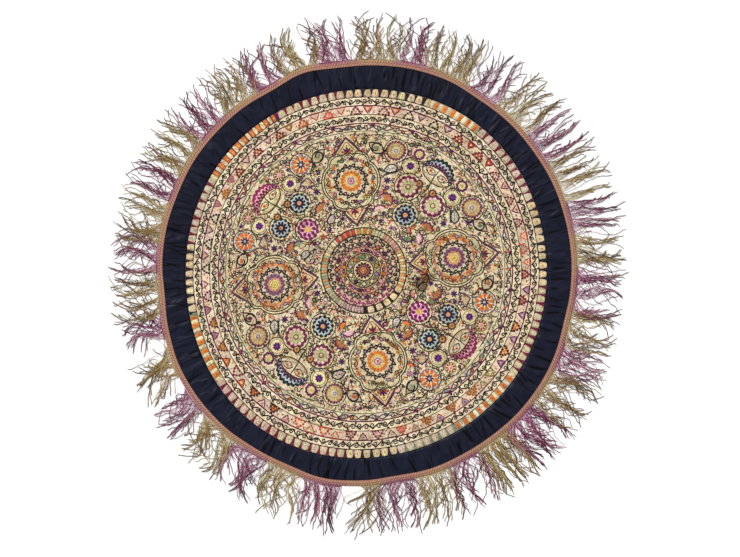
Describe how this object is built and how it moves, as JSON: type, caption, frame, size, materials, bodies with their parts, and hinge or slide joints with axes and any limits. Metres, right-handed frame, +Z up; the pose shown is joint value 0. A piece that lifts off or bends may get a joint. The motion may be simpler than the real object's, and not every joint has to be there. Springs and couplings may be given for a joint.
{
  "type": "embroidered round tablecloth",
  "caption": "Round embroidered tablecloth laid flat, with a dark satin border, a woven braid and a long dyed cord fringe.",
  "frame": {"origin": "under the middle of the embroidered panel, on the surface that the cloth lies on", "axes": "+Z up out of the cloth's face; +X to the right and +Y to the top of the cloth as pictured"},
  "size_m": [1.1047, 1.1214, 0.0034],
  "materials": {
    "embroidered_cloth": "matte",
    "navy_satin": "satin",
    "rose_braid": "matte",
    "fringe_olive": "matte",
    "fringe_mauve": "matte"
  },
  "bodies": {
    "root": {"braid": "rose_braid", "fringe_01_olive": "fringe_olive", "fringe_02_mauve": "fringe_mauve", "fringe_03_olive": "fringe_olive", "fringe_04_mauve": "fringe_mauve", "fringe_05_olive": "fringe_olive", "fringe_06_mauve": "fringe_mauve", "fringe_07_olive": "fringe_olive", "fringe_08_mauve": "fringe_mauve", "fringe_09_olive": "fringe_olive", "fringe_10_mauve": "fringe_mauve", "fringe_11_olive": "fringe_olive", "fringe_12_mauve": "fringe_mauve", "fringe_13_olive": "fringe_olive", "fringe_14_mauve": "fringe_mauve", "fringe_15_olive": "fringe_olive", "fringe_16_mauve": "fringe_mauve", "fringe_17_olive": "fringe_olive", "fringe_18_mauve": "fringe_mauve", "fringe_19_olive": "fringe_olive", "fringe_20_mauve": "fringe_mauve", "fringe_21_olive": "fringe_olive", "fringe_22_mauve": "fringe_mauve", "fringe_23_olive": "fringe_olive", "fringe_24_mauve": "fringe_mauve", "fringe_25_olive": "fringe_olive", "fringe_26_mauve": "fringe_mauve", "fringe_27_olive": "fringe_olive", "fringe_28_mauve": "fringe_mauve", "fringe_29_olive": "fringe_olive", "fringe_30_mauve": "fringe_mauve", "fringe_31_olive": "fringe_olive", "fringe_32_mauve": "fringe_mauve", "fringe_33_olive": "fringe_olive", "fringe_34_mauve": "fringe_mauve", "fringe_35_olive": "fringe_olive", "fringe_36_mauve": "fringe_mauve", "panel": "embroidered_cloth", "satin_border": "navy_satin"}
  },
  "joints": []
}
